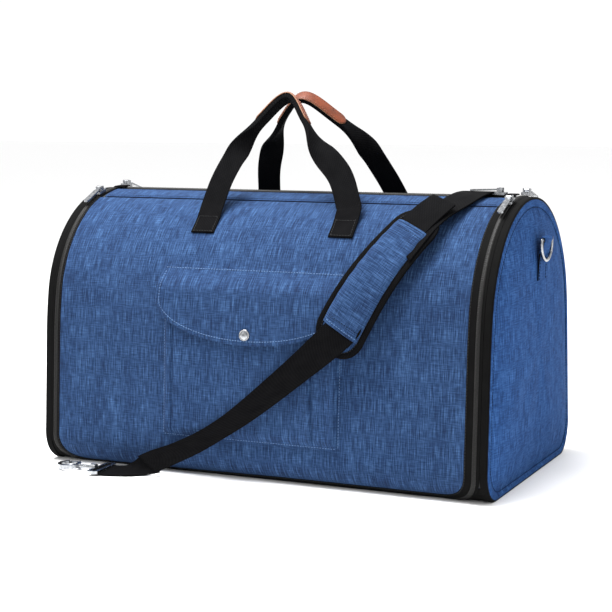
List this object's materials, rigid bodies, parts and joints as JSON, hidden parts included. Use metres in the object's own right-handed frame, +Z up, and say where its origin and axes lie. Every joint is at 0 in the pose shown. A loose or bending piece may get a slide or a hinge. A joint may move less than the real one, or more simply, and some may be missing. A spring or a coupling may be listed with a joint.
{
  "type": "garment duffel bag",
  "caption": "Barrel-shaped blue cloth duffel that unzips flat as a garment bag, with flap pocket, webbing handles with leather grips, D-rings and a padded shoulder strap.",
  "frame": {"origin": "centre of the underside, on the floor plane", "axes": "+X along the bag's length to its right end, -Y to the front with the flap pocket, +Z up"},
  "size_m": [0.6016, 0.3565, 0.4403],
  "materials": {
    "blue_cloth": "heathered blue polyester with a linen-like slub",
    "lining_cloth": "plain black lining",
    "board": "stiffener sheet",
    "zip_tape": "black nylon zip tape and coil",
    "black_webbing": "woven black webbing",
    "leather": "smooth tan brown with painted edges",
    "nickel": "bright nickel plating"
  },
  "bodies": {
    "base": {"base_panel": "blue_cloth", "base_board": "board"},
    "front_wing": {"front_panel": "blue_cloth", "front_lining": "lining_cloth", "front_facing": "blue_cloth", "front_top_tape": "zip_tape", "front_left_tape": "zip_tape", "front_right_tape": "zip_tape", "zip_end_tabs": "zip_tape", "front_handle_patches": "black_webbing", "pocket_panel": "blue_cloth", "flap_seam": "blue_cloth", "snap_stud": "nickel"},
    "rear_wing": {"rear_panel": "blue_cloth", "rear_lining": "lining_cloth", "rear_facing": "blue_cloth", "rear_top_tape": "zip_tape", "rear_left_tape": "zip_tape", "rear_right_tape": "zip_tape", "rear_handle_patches": "black_webbing"},
    "pocket_flap": {"pocket_flap": "blue_cloth", "snap_cap": "nickel"},
    "front_handle": {"front_handle_webbing": "black_webbing", "front_handle_grip": "leather"},
    "rear_handle": {"rear_handle_webbing": "black_webbing", "rear_handle_grip": "leather"},
    "right_end": {"right_end_panel": "blue_cloth", "right_end_tape": "zip_tape", "right_ring_tab": "blue_cloth"},
    "left_end": {"left_end_panel": "blue_cloth", "left_end_tape": "zip_tape", "left_ring_tab": "blue_cloth"},
    "right_ring": {"right_d_ring": "nickel"},
    "left_ring": {"left_d_ring": "nickel"},
    "top_slider": {"top_slider": "nickel"},
    "top_slider_pull": {"top_slider_pull": "nickel"},
    "strap": {"strap_front_run": "black_webbing", "shoulder_pad": "blue_cloth", "pad_sleeve": "blue_cloth", "strap_rear_run": "black_webbing", "rear_hook_loop": "nickel"},
    "strap_tail": {"strap_tail": "black_webbing", "front_hook_loop": "nickel"},
    "front_hook": {"front_hook": "nickel"},
    "front_hook_gate": {"front_hook_gate": "nickel"},
    "rear_hook": {"rear_hook": "nickel"},
    "rear_hook_gate": {"rear_hook_gate": "nickel"},
    "front_left_slider": {"front_left_slider": "nickel"},
    "front_left_pull": {"front_left_pull": "nickel"},
    "rear_left_slider": {"rear_left_slider": "nickel"},
    "rear_left_pull": {"rear_left_pull": "nickel"},
    "front_right_slider": {"front_right_slider": "nickel"},
    "front_right_pull": {"front_right_pull": "nickel"},
    "rear_right_slider": {"rear_right_slider": "nickel"},
    "rear_right_pull": {"rear_right_pull": "nickel"}
  },
  "joints": [
    {"name": "front_wing_hinge", "type": "hinge", "parent": "base", "child": "front_wing", "pos_m": [0, -0.1495, 0.02], "axis": [1, 0, 0], "range_deg": [0, 85]},
    {"name": "rear_wing_hinge", "type": "hinge", "parent": "base", "child": "rear_wing", "pos_m": [0, 0.1495, 0.02], "axis": [-1, 0, 0], "range_deg": [0, 85], "deforming": ["strap_rear_run", "rear_hook_loop", "rear_hook", "rear_hook_gate"]},
    {"name": "right_end_hinge", "type": "hinge", "parent": "base", "child": "right_end", "pos_m": [0.286, 0, 0.02], "axis": [0, 1, 0], "range_deg": [0, 80]},
    {"name": "left_end_hinge", "type": "hinge", "parent": "base", "child": "left_end", "pos_m": [-0.286, 0, 0.02], "axis": [0, -1, 0], "range_deg": [0, 80]},
    {"name": "flap_hinge", "type": "hinge", "parent": "front_wing", "child": "pocket_flap", "pos_m": [0, -0.1425, 0.234], "axis": [-1, 0, 0], "range_deg": [0, 110], "deforming": ["strap_front_run", "shoulder_pad", "pad_sleeve"]},
    {"name": "front_handle_fold", "type": "hinge", "parent": "front_wing", "child": "front_handle", "pos_m": [0, -0.07971, 0.30089], "axis": [1, 0, 0], "range_deg": [0, 110]},
    {"name": "rear_handle_fold", "type": "hinge", "parent": "rear_wing", "child": "rear_handle", "pos_m": [0, 0.07971, 0.30089], "axis": [-1, 0, 0], "range_deg": [0, 110]},
    {"name": "right_ring_swing", "type": "hinge", "parent": "right_end", "child": "right_ring", "pos_m": [0.297, 0, 0.275], "axis": [0, -1, 0], "range_deg": [0, 150]},
    {"name": "left_ring_swing", "type": "hinge", "parent": "left_end", "child": "left_ring", "pos_m": [-0.297, 0, 0.275], "axis": [0, 1, 0], "range_deg": [0, 150]},
    {"name": "top_zip_run", "type": "slide", "parent": "front_wing", "child": "top_slider", "axis": [-1, 0, 0], "range_m": [0, 0.47]},
    {"name": "top_pull_swing", "type": "hinge", "parent": "top_slider", "child": "top_slider_pull", "pos_m": [0.242, 0, 0.3295], "axis": [0, 1, 0], "range_deg": [0, 140]},
    {"name": "front_left_zip_run", "type": "hinge", "parent": "front_wing", "child": "front_left_slider", "pos_m": [-0.266, 0, 0.18], "axis": [1, 0, 0], "range_deg": [0, 62]},
    {"name": "front_left_pull_swing", "type": "hinge", "parent": "front_left_slider", "child": "front_left_pull", "pos_m": [-0.266, -0.04121, 0.32371], "axis": [-1, 0, 0], "range_deg": [0, 140]},
    {"name": "rear_left_zip_run", "type": "hinge", "parent": "rear_wing", "child": "rear_left_slider", "pos_m": [-0.266, 0, 0.18], "axis": [-1, 0, 0], "range_deg": [0, 68]},
    {"name": "rear_left_pull_swing", "type": "hinge", "parent": "rear_left_slider", "child": "rear_left_pull", "pos_m": [-0.266, 0.02339, 0.32766], "axis": [1, 0, 0], "range_deg": [0, 140]},
    {"name": "front_right_zip_run", "type": "hinge", "parent": "front_wing", "child": "front_right_slider", "pos_m": [0.266, 0, 0.18], "axis": [1, 0, 0], "range_deg": [0, 62]},
    {"name": "front_right_pull_swing", "type": "hinge", "parent": "front_right_slider", "child": "front_right_pull", "pos_m": [0.266, -0.04121, 0.32371], "axis": [-1, 0, 0], "range_deg": [0, 140]},
    {"name": "rear_right_zip_run", "type": "hinge", "parent": "rear_wing", "child": "rear_right_slider", "pos_m": [0.266, 0, 0.18], "axis": [-1, 0, 0], "range_deg": [0, 68]},
    {"name": "rear_right_pull_swing", "type": "hinge", "parent": "rear_right_slider", "child": "rear_right_pull", "pos_m": [0.266, 0.02339, 0.32766], "axis": [1, 0, 0], "range_deg": [0, 140]},
    {"name": "strap_lift", "type": "slide", "parent": "front_wing", "child": "strap", "axis": [0, 0, 1], "range_m": [0, 0.3]},
    {"name": "tail_fold", "type": "hinge", "parent": "strap", "child": "strap_tail", "pos_m": [0, -0.1495, 0.02], "axis": [1, 0, 0], "range_deg": [-85, 0], "deforming": ["strap_tail"]},
    {"name": "front_hook_swivel", "type": "hinge", "parent": "strap_tail", "child": "front_hook", "pos_m": [-0.193, -0.178, 0.0048], "axis": [-1, 0, 0], "range_deg": [-90, 90]},
    {"name": "front_gate", "type": "hinge", "parent": "front_hook", "child": "front_hook_gate", "pos_m": [-0.2258, -0.1661, 0.0048], "axis": [0, 0, 1], "range_deg": [0, 20], "stiffness_Nm_per_rad": 0.03},
    {"name": "rear_hook_swivel", "type": "hinge", "parent": "strap", "child": "rear_hook", "pos_m": [0.224, 0.10861, 0.28128], "axis": [0, 0.682, -0.7314], "range_deg": [-20, 20]},
    {"name": "rear_gate", "type": "hinge", "parent": "rear_hook", "child": "rear_hook_gate", "pos_m": [0.2359, 0.13098, 0.25729], "axis": [0, 0.7314, 0.682], "range_deg": [0, 20], "stiffness_Nm_per_rad": 0.03}
  ],
  "couplings": [
    {"joint": "tail_fold", "follows": "front_wing_hinge", "ratio": -1}
  ]
}
